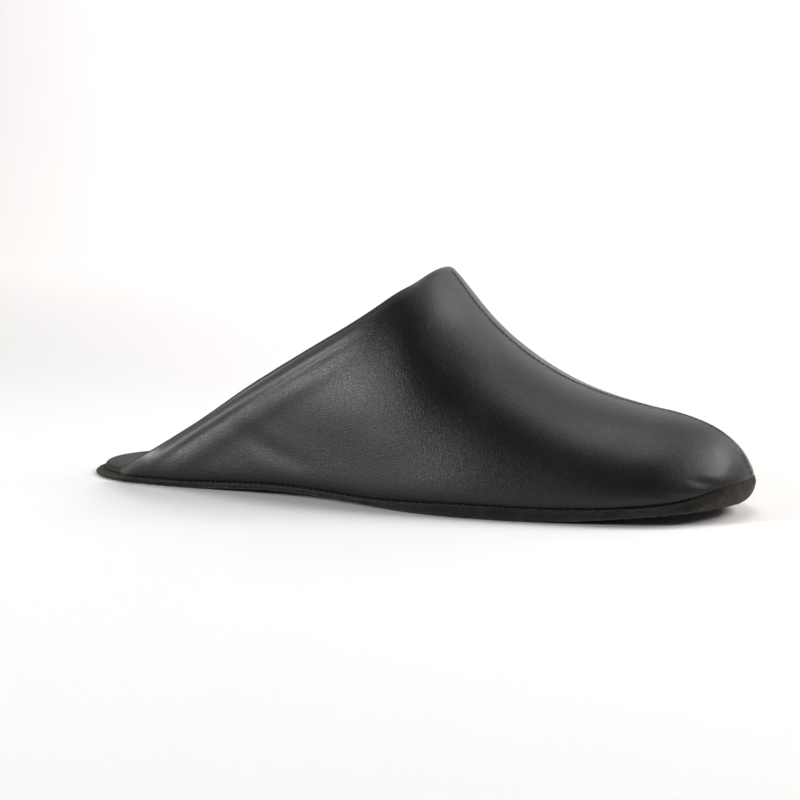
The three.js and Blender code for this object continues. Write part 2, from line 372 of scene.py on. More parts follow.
def ramp(tree, source, stops):
    """Grey ramp from a list of (place, grey)."""
    made = node(tree, "ShaderNodeValToRGB")
    line = made.color_ramp.elements
    while len(line) < len(stops):
        line.new(0.5)
    for element, (place, grey) in zip(line, stops):
        element.position = place
        element.color = (grey, grey, grey, 1)
    tree.links.new(source, made.inputs["Fac"])
    return made.outputs["Color"]


def math(tree, operation, a, b=0.0, clamp=False):
    """Sum, product or difference of two numbers or sockets."""
    made = node(tree, "ShaderNodeMath", operation=operation, use_clamp=clamp)
    for place, value in enumerate((a, b)):
        if isinstance(value, (int, float)):
            made.inputs[place].default_value = value
        else:
            tree.links.new(value, made.inputs[place])
    return made.outputs[0]


# pebble grain and nap: CELLS are counted to the metre, BEND_FAR is in metres, heights are shares
# of the depth that each material gives, and small cells are so many times as fine as big ones
BEND_CELLS = 420.0
BEND_FAR = 0.0012
SMALL_FINENESS = 2.3
BIG_PEBBLE = [(0.0, 0.0), (0.10, 0.55), (0.28, 0.92), (0.6, 1.0)]
SMALL_PEBBLE = [(0.0, 0.0), (0.14, 0.8), (0.5, 1.0)]
BIG_HIGH = 0.6
SMALL_HIGH = 0.22
SWELL_CELLS = 900.0
SWELL_HIGH = 0.5
MOTTLE_CELLS = 38.0
MOTTLE_SPAN = [(0.3, 0.0), (0.7, 1.0)]
CLUMP_CELLS = 520.0
CLUMP_HIGH = 0.8
BRUSH_CELLS = 110.0
BRUSH_SPAN = [(0.32, 0.0), (0.68, 1.0)]


def pebble_grain():
    """Fine pebbled leather: big and small raised cells between creases, and a slow mottle."""
    group = bpy.data.node_groups.new("pebble_grain", "ShaderNodeTree")
    socket(group, "Vector", "INPUT", "NodeSocketVector")
    socket(group, "Cells", "INPUT", value=1100.0)
    socket(group, "Height", "OUTPUT")
    socket(group, "Creases", "OUTPUT")
    socket(group, "Mottle", "OUTPUT")
    start, end = node(group, "NodeGroupInput"), node(group, "NodeGroupOutput")
    place, cells = start.outputs["Vector"], start.outputs["Cells"]
    links = group.links

    warp = node(group, "ShaderNodeTexNoise", Scale=BEND_CELLS, Detail=2.0)
    links.new(place, warp.inputs["Vector"])
    push = node(group, "ShaderNodeVectorMath", operation="SCALE")
    links.new(warp.outputs["Color"], push.inputs[0])
    push.inputs["Scale"].default_value = BEND_FAR
    bent = node(group, "ShaderNodeVectorMath", operation="ADD")
    links.new(place, bent.inputs[0])
    links.new(push.outputs[0], bent.inputs[1])

    edges = []
    for share in (1.0, SMALL_FINENESS):
        voronoi = node(group, "ShaderNodeTexVoronoi", feature="DISTANCE_TO_EDGE")
        links.new(bent.outputs[0], voronoi.inputs["Vector"])
        links.new(math(group, "MULTIPLY", cells, share), voronoi.inputs["Scale"])
        edges.append(voronoi.outputs["Distance"])
    big = ramp(group, edges[0], BIG_PEBBLE)
    small = ramp(group, edges[1], SMALL_PEBBLE)
    swell = node(group, "ShaderNodeTexNoise", Scale=SWELL_CELLS, Detail=3.0, Roughness=0.6)
    links.new(place, swell.inputs["Vector"])
    height = math(group, "MULTIPLY", big, BIG_HIGH)
    height = math(group, "ADD", height, math(group, "MULTIPLY", small, SMALL_HIGH))
    height = math(group, "ADD", height, math(group, "MULTIPLY", swell.outputs["Fac"], SWELL_HIGH))
    links.new(height, end.inputs["Height"])
    links.new(math(group, "SUBTRACT", 1.0, big), end.inputs["Creases"])
    mottle = node(group, "ShaderNodeTexNoise", Scale=MOTTLE_CELLS, Detail=4.0, Roughness=0.55)
    links.new(place, mottle.inputs["Vector"])
    links.new(ramp(group, mottle.outputs["Fac"], MOTTLE_SPAN), end.inputs["Mottle"])
    return group


def suede_nap():
    """Napped suede: short fibres in clumps, which lie in brushed patches."""
    group = bpy.data.node_groups.new("suede_nap", "ShaderNodeTree")
    socket(group, "Vector", "INPUT", "NodeSocketVector")
    socket(group, "Fibres", "INPUT", value=2600.0)
    socket(group, "Height", "OUTPUT")
    socket(group, "Brushed", "OUTPUT")
    start, end = node(group, "NodeGroupInput"), node(group, "NodeGroupOutput")
    place, fibres = start.outputs["Vector"], start.outputs["Fibres"]
    links = group.links
    fine = node(group, "ShaderNodeTexNoise", Detail=5.0, Roughness=0.75)
    links.new(place, fine.inputs["Vector"])
    links.new(fibres, fine.inputs["Scale"])
    clumps = node(group, "ShaderNodeTexNoise", Scale=CLUMP_CELLS, Detail=3.0, Distortion=1.2)
    links.new(place, clumps.inputs["Vector"])
    brushed = node(group, "ShaderNodeTexNoise", Scale=BRUSH_CELLS, Detail=3.0, Distortion=0.6)
    links.new(place, brushed.inputs["Vector"])
    clump_height = math(group, "MULTIPLY", clumps.outputs["Fac"], CLUMP_HIGH)
    height = math(group, "ADD", fine.outputs["Fac"], clump_height)
    links.new(height, end.inputs["Height"])
    links.new(ramp(group, brushed.outputs["Fac"], BRUSH_SPAN), end.inputs["Brushed"])
    return group


GRAIN = pebble_grain()
NAP = suede_nap()


def new_material(name):
    """Material with its node tree, its shader and the place on the object in metres."""
    material = bpy.data.materials.new(name)
    material.use_nodes = True
    tree = material.node_tree
    place = node(tree, "ShaderNodeTexCoord").outputs["Object"]
    return material, tree, tree.nodes["Principled BSDF"], place


def mix(tree, factor, first, second):
    """Mix of two colours, or of sockets that carry them. Inputs 6 and 7 are the node's colours."""
    made = node(tree, "ShaderNodeMix", data_type="RGBA")
    for place, value in ((0, factor), (6, first), (7, second)):
        if isinstance(value, tuple):
            made.inputs[place].default_value = (*value, 1)
        else:
            tree.links.new(value, made.inputs[place])
    return made.outputs[2]


def mask(tree, name):
    """A mask that the mesh carries."""
    return node(tree, "ShaderNodeAttribute", attribute_name=name).outputs["Fac"]


# leather
# painted shade in the grain's creases: CREASE_SHADE is how dark, CREASE_SHADE_SHOW how much of it shows
CREASE_SHADE = 0.45
CREASE_SHADE_SHOW = 0.55
MOTTLE_ROUGH = 0.05
CREASE_ROUGH = 0.12
WEAR_SHOW = 0.8
LEATHER_GLOSS = 0.36

# suede
NAP_DEEP = 0.00030
SUEDE_ROUGH = 0.97
BRUSHED_SMOOTH = 0.1
SUEDE_GLOSS = 0.2
SUEDE_SHEEN = 0.22
SHEEN_ROUGH = 0.5
SHEEN_TINT = (0.75, 0.68, 0.58, 1)

# thread
TWIST_SCALE = 900.0
TWIST_DEEP = 0.00005
THREAD_ROUGH = 0.6


def grained_leather(name, dark, light, cells, depth, roughness, worn=None):
    """Leather with pebble grain and painted shade in its creases. Where worn is given, the mesh's masks
    wear and smooth show.
    """
    material, tree, shader, place = new_material(name)
    grain = node(tree, "ShaderNodeGroup", node_tree=GRAIN)
    grain.inputs["Cells"].default_value = cells
    tree.links.new(place, grain.inputs["Vector"])
    colour = mix(tree, grain.outputs["Mottle"], dark, light)
    # painted shade: the colour is darkened in the grain's creases
    deep = tuple(share * CREASE_SHADE for share in dark)
    colour = mix(tree, math(tree, "MULTIPLY", grain.outputs["Creases"], CREASE_SHADE_SHOW), colour, deep)
    rough = math(tree, "ADD", roughness, math(tree, "MULTIPLY", grain.outputs["Mottle"], MOTTLE_ROUGH))
    rough = math(tree, "ADD", rough, math(tree, "MULTIPLY", grain.outputs["Creases"], CREASE_ROUGH))
    height = grain.outputs["Height"]
    if worn:
        colour = mix(tree, math(tree, "MULTIPLY", mask(tree, "wear"), WEAR_SHOW), colour, worn)
        flat = math(tree, "SUBTRACT", 1.0, mask(tree, "smooth"), clamp=True)
        height = math(tree, "MULTIPLY", height, flat)
    bump = node(tree, "ShaderNodeBump", Strength=1.0, Distance=depth)
    tree.links.new(height, bump.inputs["Height"])
    tree.links.new(colour, shader.inputs["Base Color"])
    tree.links.new(rough, shader.inputs["Roughness"])
    tree.links.new(bump.outputs["Normal"], shader.inputs["Normal"])
    shader.inputs["Specular IOR Level"].default_value = LEATHER_GLOSS
    return material


def suede(name, dark, light):
    """Napped suede, with the faint sheen of its fibres."""
    material, tree, shader, place = new_material(name)
    nap = node(tree, "ShaderNodeGroup", node_tree=NAP)
    tree.links.new(place, nap.inputs["Vector"])
    colour = mix(tree, nap.outputs["Brushed"], dark, light)
    smooth = math(tree, "MULTIPLY", nap.outputs["Brushed"], BRUSHED_SMOOTH)
    rough = math(tree, "SUBTRACT", SUEDE_ROUGH, smooth)
    bump = node(tree, "ShaderNodeBump", Strength=1.0, Distance=NAP_DEEP)
    tree.links.new(nap.outputs["Height"], bump.inputs["Height"])
    tree.links.new(colour, shader.inputs["Base Color"])
    tree.links.new(rough, shader.inputs["Roughness"])
    tree.links.new(bump.outputs["Normal"], shader.inputs["Normal"])
    shader.inputs["Specular IOR Level"].default_value = SUEDE_GLOSS
    shader.inputs["Sheen Weight"].default_value = SUEDE_SHEEN
    shader.inputs["Sheen Roughness"].default_value = SHEEN_ROUGH
    shader.inputs["Sheen Tint"].default_value = SHEEN_TINT
    return material


def waxed_thread():
    """Black waxed thread with its twist, and painted shade in the twist's grooves."""
    material, tree, shader, place = new_material("waxed_thread")
    twist = node(tree, "ShaderNodeTexWave", Scale=TWIST_SCALE, Distortion=1.5)
    tree.links.new(place, twist.inputs["Vector"])
    # painted shade: the colour is darker in the grooves of the twist, where the bump is low
    colour = mix(tree, twist.outputs["Fac"], (0.004, 0.004, 0.004), (0.012, 0.011, 0.010))
    bump = node(tree, "ShaderNodeBump", Strength=0.6, Distance=TWIST_DEEP)
    tree.links.new(twist.outputs["Fac"], bump.inputs["Height"])
    tree.links.new(colour, shader.inputs["Base Color"])
    tree.links.new(bump.outputs["Normal"], shader.inputs["Normal"])
    shader.inputs["Roughness"].default_value = THREAD_ROUGH
    return material


LEATHER = grained_leather(
    "black_leather",
    dark=(0.0055, 0.0051, 0.0049),
    light=(0.0085, 0.0080, 0.0076),
    cells=1150.0,
    depth=0.000055,
    roughness=0.30,
    worn=(0.075, 0.072, 0.070),
)
LINING = grained_leather(
    "lining_leather",
    dark=(0.016, 0.0145, 0.013),
    light=(0.023, 0.021, 0.019),
    cells=1700.0,
    depth=0.00006,
    roughness=0.58,
)
SOCK_LEATHER = grained_leather(
    "sock_leather",
    dark=(0.014, 0.013, 0.012),
    light=(0.020, 0.0185, 0.017),
    cells=1500.0,
    depth=0.00007,
    roughness=0.5,
)
SUEDE = suede("brown_suede", dark=(0.0060, 0.0055, 0.0046), light=(0.0170, 0.0156, 0.0132))
THREAD = waxed_thread()

# upper: one grid a side, stations from the back end through the throat to the toe
AHEAD = 400
BEHIND = 150
ACROSS = 74
BEHIND_POWER = 1.6
END_CROWD = 0.86
TOP_CROWD = 0.8
TOP_CROWD_MOST = 3
LEAST_TURN = 1e-3


def crest(t):
    """Points of the centre line."""
    p = skin(t, OUTER, np.ones_like(t))
    p[..., 1] = 0
    return p


fine_ahead = THROAT_T + (1 - THROAT_T) * np.sin(np.linspace(0, np.pi / 2, 4001))
crest_run = run_along(crest(fine_ahead))
T_AHEAD = np.interp(np.linspace(0, crest_run[-1], AHEAD + 1), crest_run, fine_ahead)
T_BEHIND = THROAT_T - (THROAT_T - BACK_T) * (np.arange(BEHIND, 0, -1) / BEHIND) ** BEHIND_POWER
STATIONS = np.concatenate([T_BEHIND, T_AHEAD])


def row_turns(side):
    """Turn of each row at each station: low rows keep their place, high rows crowd up to the topline."""
    s = np.arange(ACROSS + 1)[:, None] / ACROSS
    share = s - END_CROWD * np.sin(2 * np.pi * s) / (2 * np.pi)
    most = topline_turn(STATIONS, side)[None]
    cut = np.maximum(-np.log(most.clip(LEAST_TURN, 1)), 1e-9)
    crowd = np.minimum(TOP_CROWD_MOST, TOP_CROWD / cut)
    return np.where(most < 1, share * most.clip(LEAST_TURN) ** (share ** crowd), share)


def upper_sides():
    """Points of the outside of both halves, by row and station, before any relief."""
    sides = {}
    for side in (OUTER, INNER):
        turn = row_turns(side)
        grid = skin(np.broadcast_to(STATIONS, turn.shape), side, turn)
        grid[-1, BEHIND:] = crest(STATIONS[BEHIND:])
        grid[:, -1] = crest(STATIONS[-1:])
        sides[side] = grid
    return sides


SIDES = upper_sides()
SHAPE = SIDES[OUTER].shape[:2]
NUMBERS = {OUTER: np.arange(SHAPE[0] * SHAPE[1]).reshape(SHAPE)}
NUMBERS[INNER] = NUMBERS[OUTER] + SHAPE[0] * SHAPE[1]
NUMBERS[INNER][-1, BEHIND:] = NUMBERS[OUTER][-1, BEHIND:]
for side_numbers in NUMBERS.values():
    side_numbers[:, -1] = NUMBERS[OUTER][-1, -1]


def each_side(make):
    """Values for all vertices of the upper from a function of the side and its grid."""
    return np.concatenate([np.asarray(make(side, SIDES[side])).reshape(SHAPE[0] * SHAPE[1], -1)
                           for side in (OUTER, INNER)])


POINTS = each_side(lambda side, grid: grid)
RISE = each_side(lambda side, grid: run_along(grid))[:, 0]
DOWN = each_side(lambda side, grid: run_along(grid)[-1:] - run_along(grid))[:, 0]
FEATHER_RUN = each_side(lambda side, grid: np.broadcast_to(run_along(grid[0]), SHAPE))[:, 0]
SEAM_RUN = each_side(lambda side, grid: np.broadcast_to(
    np.concatenate([np.full(BEHIND, -1.0), run_along(crest(STATIONS[BEHIND:]))]), SHAPE))[:, 0]
SIDE = each_side(lambda side, grid: np.full(SHAPE, side))[:, 0]
FACES = clean_faces(np.concatenate([grid_quads(NUMBERS[OUTER], False), grid_quads(NUMBERS[INNER], True)]))
NORMALS = normals_of(POINTS, FACES)

# centre seam: a plain groove near the throat, where its lips cover the stitches, and from
# SEAM_COVER on a shallow one with a pit at each stitch
STITCH = 2.3
PULL_POWER = 1.4
SEAM_DEEP = 0.06
SEAM_PULL = 0.62
SEAM_TOP_DEEP = 0.5
SEAM_WIDE = 0.38
SEAM_COVER = 26.0
SEAM_FADE = 2.5

# turned lips and puckers beside the seam, with their shares on the outer and the inner half
LIP_HIGH = 0.24
LIP_AWAY = 1.0
LIP_WIDE = 0.6
LIP_SHARES = (0.8, 1.3)
PUCKER = 0.14
PUCKER_AWAY = 0.9
PUCKER_WIDE = 0.9
PUCKER_SHARES = (0.7, 1.6)

# feather line: how far the leather turns in, and the pinch of each stitch
FEATHER_STITCH = 2.6
TURN_IN = 0.45
TURN_IN_WIDE = 0.55
PINCH = 0.12
PINCH_WIDE = 1.5


def within(x, reach):
    """1 between two places along the shoe; reach is the start, its fade, the end and its fade."""
    start, fade_in, end, fade_out = reach
    return ease((end - x) / fade_out) * ease((x - start) / fade_in)


def stitch_wave(run, pitch):
    """1 in the middle of each stitch, 0 between two."""
    return 0.5 - 0.5 * np.cos(2 * np.pi * run / pitch)


def seam_relief():
    """Groove of the centre seam, its turned lips, and the pit and puckers of each stitch."""
    shown = ease(SEAM_RUN / SEAM_COVER)
    pull = stitch_wave(SEAM_RUN, STITCH) ** PULL_POWER
    deep = SEAM_TOP_DEEP * (1 - shown) + (SEAM_DEEP + SEAM_PULL * pull) * shown
    groove = -deep * bump(DOWN / SEAM_WIDE)
    lip_share = np.where(SIDE == OUTER, *LIP_SHARES)
    pucker_share = np.where(SIDE == OUTER, *PUCKER_SHARES)
    lip = LIP_HIGH * bump((DOWN - LIP_AWAY) / LIP_WIDE) * lip_share
    pucker = -PUCKER * (1 - pull) * bump((DOWN - PUCKER_AWAY) / PUCKER_WIDE) * pucker_share
    return np.where(SEAM_RUN >= 0, (groove + lip + pucker) * ease(SEAM_RUN / SEAM_FADE), 0)


def feather_relief():
    """The leather turns in to the seam of the sole and each stitch pinches it."""
    pull = stitch_wave(FEATHER_RUN, FEATHER_STITCH)
    return -TURN_IN * bump(RISE / TURN_IN_WIDE) - PINCH * pull * bump(RISE / PINCH_WIDE)


# collar: how far it rolls in, and the mark that its turned-in leather leaves on the outside
HEM_DOWN = 5.8
ROLL_IN = 1.6
ROLL_REACH = (30, 20, 158, 45)
MARK_REACH = (40, 20, 150, 32)
TROUGH_DEEP = 0.42
TROUGH_WIDE = 2.3
BULGE_HIGH = 0.35
BULGE_BELOW = 7
BULGE_WIDE = 4.5


def collar_relief():
    """Collar rolled in at its edge, a trough where the turned-in leather ends, a bulge below."""
    x = POINTS[:, 0]
    roll = -ROLL_IN * (1 - DOWN / HEM_DOWN).clip(0) ** 2 * within(x, ROLL_REACH)
    trough = -TROUGH_DEEP * bump((DOWN - HEM_DOWN) / TROUGH_WIDE)
    bulge = BULGE_HIGH * bump((DOWN - HEM_DOWN - BULGE_BELOW) / BULGE_WIDE)
    return np.where(SEAM_RUN < 0, roll + within(x, MARK_REACH) * (trough + bulge), 0)


# soft swells and hollows of worn leather: side, place along, place up the skin, half length,
# half height, lean of the long axis in degrees, how high
SWELLS = [
    (OUTER, 132, 33, 24, 14, 8, 0.9),
    (OUTER, 100, 34, 16, 12, -10, 0.25),
    (OUTER, 150, 54, 10, 26, 20, -0.3),
    (OUTER, 172, 26, 13, 22, 8, -0.3),
    (OUTER, 150, 22, 12, 9, 0, 0.35),
    (OUTER, 176, 66, 8, 6, -30, 0.35),
    (OUTER, 164, 70, 6, 9, -20, -0.35),
    (OUTER, 200, 38, 16, 12, -25, 0.4),
    (OUTER, 226, 34, 12, 8, -20, -0.25),
    (OUTER, 250, 17, 11, 9, 10, 0.7),
    (INNER, 126, 40, 18, 12, 18, 0.9),
    (INNER, 154, 54, 8, 24, 20, -0.7),
    (INNER, 178, 24, 9, 18, 6, -0.5),
    (INNER, 205, 36, 16, 10, -20, 0.4),
    (INNER, 96, 32, 14, 10, -12, 0.4),
]

# creases: side, points as (place along, place up the skin), half width, how deep
CREASES = [
    (OUTER, ((264, 8.5), (268, 5.4), (272.5, 1.6)), 1.3, 0.28),
    (OUTER, ((254, 5.5), (259, 3.2), (263, 0.8)), 1.2, 0.16),
    (OUTER, ((80, 23), (92, 17), (103, 13), (118, 10)), 3.2, 0.28),
    (INNER, ((86, 24), (96, 18), (110, 13)), 2.4, 0.35),
    (INNER, ((262, 8), (267, 4.5), (271, 1.5)), 1.3, 0.22),
]

# swells fade out towards the top and the feather line; a crease is shallow at its ends and has a
# low ridge beside it, placed and sized by its half width
SWELL_TOP_FADE = 8
SWELL_FOOT_FADE = 4
CREASE_END = 0.1
CREASE_RIDGE = 0.35
CREASE_RIDGE_AWAY = 2.2


def swell_relief():
    """Height of the soft swells and hollows at each vertex."""
    relief = np.zeros(len(POINTS))
    for side, along, up, long, tall, lean, high in SWELLS:
        turn = np.radians(lean)
        x, y = POINTS[:, 0] - along, RISE - up
        a = (x * np.cos(turn) + y * np.sin(turn)) / long
        b = (y * np.cos(turn) - x * np.sin(turn)) / tall
        relief += np.where(SIDE == side, high * bump(np.hypot(a, b)), 0)
    return relief * ease(DOWN / SWELL_TOP_FADE) * ease(RISE / SWELL_FOOT_FADE)


def crease_relief():
    """Depth of the creases at each vertex, with the low ridge beside each."""
    relief = np.zeros(len(POINTS))
    here = np.stack([POINTS[:, 0], RISE], -1)
    for side, line, wide, deep in CREASES:
        line = np.array(line, float)
        near = np.full(len(POINTS), np.inf)
        fade = np.zeros(len(POINTS))
        for i, (a, b) in enumerate(zip(line[:-1], line[1:])):
            share = ((here - a) @ (b - a) / ((b - a) @ (b - a))).clip(0, 1)
            away = np.linalg.norm(here - a - share[:, None] * (b - a), axis=1)
            closer = away < near
            near = np.where(closer, away, near)
            fade = np.where(closer, (i + share) / (len(line) - 1), fade)
        depth = deep * np.sin(np.pi * (CREASE_END + (1 - 2 * CREASE_END) * fade))
        ridge = CREASE_RIDGE * bump((near - CREASE_RIDGE_AWAY * wide) / wide)
        relief += np.where(SIDE == side, depth * (ridge - bump(near / wide)), 0)
    return relief


RELIEF = seam_relief() + feather_relief() + collar_relief() + swell_relief() + crease_relief()
SKIN = POINTS + NORMALS * RELIEF[:, None]
SKIN_NORMALS = normals_of(SKIN, FACES)

# folded edge: half its thickness, how high it stands at its ends and how much more between them,
# and the hem inside as distances down from the edge and how much thinner it is there
FOLD = 1.15
FOLD_STEPS = 8
FOLD_LOW = 0.8
FOLD_PROUD = 0.85
FOLD_REACH = (60, 30, 165, 14)
HEM = (1.0, 2.5, 4.0, 6.0, 8.0, 9.4, 10.0)
HEM_FEATHERED = (0, 0, 0, 0, 0, 0.05, 0.25)
STEADY_REACH = 8


def collar_line():
    """Vertex numbers along the collar from the outer back end through the throat to the inner one."""
    return np.concatenate([NUMBERS[OUTER][-1, :BEHIND + 1], NUMBERS[INNER][-1, :BEHIND][::-1]])


def steady(directions):
    """Directions along a line, averaged over their neighbours."""
    padded = np.pad(directions, ((STEADY_REACH, STEADY_REACH), (0, 0)), mode="edge")
    window = np.ones(2 * STEADY_REACH + 1)
    return unit(np.stack([np.convolve(column, window, mode="valid") for column in padded.T], -1))


def folded_edge():
    """Rows of points that fold the leather over the collar and down inside as a hem."""
    line = collar_line()
    edge, out = SKIN[line], steady(NORMALS[line])
    up = steady(unit(np.cross(out, np.gradient(edge, axis=0))))
    rows = []
    lift = FOLD_LOW + FOLD_PROUD * within(edge[:, :1], FOLD_REACH)
    for k in range(1, FOLD_STEPS + 1):
        angle = np.pi * k / FOLD_STEPS
        rows.append(edge + FOLD * ((np.cos(angle) - 1) * out + lift * np.sin(angle) * up))
    tree = BVHTree.FromPolygons(POINTS.tolist(), FACES)
    for down, thin in zip(HEM, HEM_FEATHERED):
        found = [tree.find_nearest(Vector(p)) for p in edge - down * up]
        rows.append(np.array([np.array(hit) - np.array(n) * (2 * FOLD - thin) for hit, n, _, _ in found]))
    return rows


# wear and smoothing of the grain along the seam, the collar and the fold
SEAM_MASK_AWAY = 0.6
SEAM_MASK_WIDE = 0.9
COLLAR_MASK_WIDE = 2.6
COLLAR_MASK_LEAST = 0.2
COLLAR_MASK_END = 160
COLLAR_MASK_FADE = 40
SEAM_WEAR = 0.3
SEAM_SMOOTH = 0.75
COLLAR_SMOOTH = 0.6
FOLD_MASK = 0.5


def upper_skin():
    """The leather of both halves with its folded collar, as one mesh."""
    line = collar_line()
    rows = folded_edge()
    count = len(line)
    extra = np.arange(len(rows) * count).reshape(len(rows), count) + len(SKIN)
    fold = clean_faces(grid_quads(np.concatenate([line[None], extra]), False))
    points = np.concatenate([SKIN, *rows])
    faces = FACES + fold
    used = np.unique(np.concatenate([np.array(f) for f in faces]))
    place = np.full(len(points), -1)
    place[used] = np.arange(len(used))
    spare = len(points) - len(SKIN)
    seam = (SEAM_RUN >= 0) * bump((DOWN - SEAM_MASK_AWAY) / SEAM_MASK_WIDE)
    back = ease((COLLAR_MASK_END - SKIN[:, 0]) / COLLAR_MASK_FADE)
    collar = (SEAM_RUN < 0) * bump(DOWN / COLLAR_MASK_WIDE)
    collar = collar * (COLLAR_MASK_LEAST + (1 - COLLAR_MASK_LEAST) * back)
    fold_mask = np.full(spare, FOLD_MASK)
    wear = np.concatenate([np.maximum(SEAM_WEAR * seam, collar), fold_mask])
    smooth = np.concatenate([np.maximum(SEAM_SMOOTH * seam, COLLAR_SMOOTH * collar), fold_mask])
    return make_piece("upper_skin", points[used], [[int(place[v]) for v in f] for f in faces],
                      LEATHER, "black_leather", wear=wear[used], smooth=smooth[used])


# lining: how coarse its grid is, how far it lies within the wall and above the feather line
LINING_STEP = 3
LINING_WITHIN = 0.1
LINING_LIFT = 0.3


def upper_lining():
    """Lining, from the hem of the collar down to the insole, on a coarser grid."""
    points, numbers, count = [], {}, 0
    for side in (OUTER, INNER):
        out = NORMALS[NUMBERS[side]]
        inside = SIDES[side] - (WALL - LINING_WITHIN) * out
        inside[..., 2] = np.maximum(inside[..., 2], SIDES[side][:1, :, 2] + LINING_LIFT)
        inside = inside[:-1][::LINING_STEP, ::LINING_STEP]
        number = count + np.arange(inside.shape[0] * inside.shape[1]).reshape(inside.shape[:2])
        points.append(inside.reshape(-1, 3))
        numbers[side] = number
        count += number.size
    ahead = BEHIND // LINING_STEP
    faces = [grid_quads(numbers[OUTER], True), grid_quads(numbers[INNER], False)]
    top = np.stack([numbers[OUTER][-1, ahead:], numbers[INNER][-1, ahead:]])
    faces.append(grid_quads(top, True))
    return make_piece("upper_lining", np.concatenate(points), clean_faces(np.concatenate(faces)),
                      LINING, "sock_leather")


# stitches: rings and sides of one, how much thinner its ends are and how far they dip
THREAD_STEPS = 6
THREAD_SIDES = 6
END_THIN = 0.75
END_DIP = 0.55
LOOK_AHEAD = 0.3

# stitches of the seam: size, share of the way from the groove to a row of points beside it,
# height, and the length left free at each end of the seam
SEAM_STITCH_LONG = 1.6
SEAM_THREAD = 0.42
BESIDE = 0.45
BESIDE_ROWS = 2
SEAM_LIFT = 0.16
SEAM_LIFT_MORE = 0.10
SEAM_FREE = 1.0

# stitches of the feather line: size, place out and up from it, upward lean
FEATHER_STITCH_LONG = 1.6
FEATHER_THREAD = 0.45
FEATHER_OUT = 0.12
FEATHER_UP = 0.02
FEATHER_LEAN = 0.6


def thread_stitches(name, centres, along, out, length, thick):
    """Short stitches: rounded bars of thread that dip into the leather at their ends."""
    points, faces = [], []
    for centre, a, n in zip(centres, along, out):
        across = np.cross(a, n)
        first = len(points)
        for i in range(THREAD_STEPS + 1):
            s = i / THREAD_STEPS * 2 - 1
            radius = thick / 2 * (1 - END_THIN * s ** 6)
            middle = centre + a * s * length / 2 - n * thick * END_DIP * s ** 4
            for k in range(THREAD_SIDES):
                angle = 2 * np.pi * k / THREAD_SIDES
                points.append(middle + radius * (np.cos(angle) * across + np.sin(angle) * n))
        number = first + np.arange((THREAD_STEPS + 1) * THREAD_SIDES).reshape(-1, THREAD_SIDES)
        faces.append(grid_quads(np.concatenate([number, number[:, :1]], 1), True))
        for end in (number[0][::-1], number[-1]):
            faces.append(np.stack([end[[0, 1, 2, 3]], end[[0, 3, 4, 5]]]))
    return make_piece(name, np.array(points), clean_faces(np.concatenate(faces)), THREAD, "black_leather")


def on_line(s, run, values):
    """Point or direction at a running length of a line."""
    return np.array([np.interp(s, run, values[:, k]) for k in range(3)])


def seam_stitches():
    """Stitches of the centre seam, just beside the groove on the outer side."""
    line = SKIN[NUMBERS[OUTER][-1, BEHIND:]]
    beside = SKIN[NUMBERS[OUTER][-1 - BESIDE_ROWS, BEHIND:]]
    out = unit(SKIN_NORMALS[NUMBERS[OUTER][-1, BEHIND:]])
    run = run_along(line)
    centres, along, outs = [], [], []
    for s in np.arange(STITCH / 2 + SEAM_FREE, run[-1] - SEAM_FREE, STITCH):
        at = on_line(s, run, line)
        n = unit(on_line(s, run, out) * np.array([1, 0, 1]))
        lift = SEAM_LIFT + SEAM_LIFT_MORE * np.clip(s / SEAM_COVER, 0, 1)
        centres.append((1 - BESIDE) * at + BESIDE * on_line(s, run, beside) + n * lift)
        along.append(unit(on_line(s + LOOK_AHEAD, run, line) - at))
        outs.append(n)
    return thread_stitches("seam_stitches", centres, along, outs, SEAM_STITCH_LONG, SEAM_THREAD)


def feather_stitches():
    """Stitches that hold the upper to the sole, in the groove between them."""
    centres, along, outs = [], [], []
    for side in (OUTER, INNER):
        foot = SKIN[NUMBERS[side][0]]
        run = run_along(foot)
        for s in np.arange(FEATHER_STITCH / 2, run[-1], FEATHER_STITCH):
            at = on_line(s, run, foot)
            nx, ny = outward(np.interp(s, run, STATIONS), side)
            n = np.array([nx, ny, 0.0])
            centres.append(at + n * FEATHER_OUT + np.array([0, 0, FEATHER_UP]))
            along.append(unit(on_line(s + LOOK_AHEAD, run, foot) - at))
            outs.append(unit(n + np.array([0, 0, FEATHER_LEAN])))
    return thread_stitches("feather_stitches", centres, along, outs, FEATHER_STITCH_LONG, FEATHER_THREAD)


# sole and insole: points round half a ring, rows of each profile, size of the nap's tufts
AROUND = 300
BAND_ROWS = 30
SOCK_ROWS = 24
NAP_ROUGH = 0.05
NAP_SEED = 11

# profile of the sole's band, from its top inside to its bottom inside: out as a share of BAND_OUT,
# up as a share of the edge's height
BAND = np.array([
    # out, up
    [-5.3, 1.00],
    [-1.5, 1.00],
    [0.00, 1.00],
    [0.53, 0.86],
    [0.94, 0.66],
    [1.00, 0.42],
    [0.70, 0.18],
    [0.12, 0.04],
    [-1.3, 0.00],
    [-5.3, 0.00],
])

# profile of the sock, from its top to its bottom: in and up as shares of SOCK_EDGE, share of the dome
SOCK = np.array([
    # in, up, dome
    [2.9, 1.0, 1.0],
    [1.35, 1.0, 0.5],
    [0.42, 1.0, 0.1],
    [0.04, 0.75, 0.0],
    [0.0, 0.3, 0.0],
    [0.15, 0.0, 0.0],
    [2.9, 0.0, 0.0],
])


def profile(table, rows):
    """Smooth rows through a table of profile points, evenly spaced along it."""
    run = np.concatenate([[0], np.cumsum(np.linalg.norm(np.diff(table[:, :2], axis=0), axis=1))])
    columns = [curve(np.stack([run, column], -1), 1) for column in table.T]
    at = np.unique(np.concatenate([np.linspace(run[1], run[-2], rows), run[[0, -1]]]))
    return np.stack([column(at) for column in columns], -1)


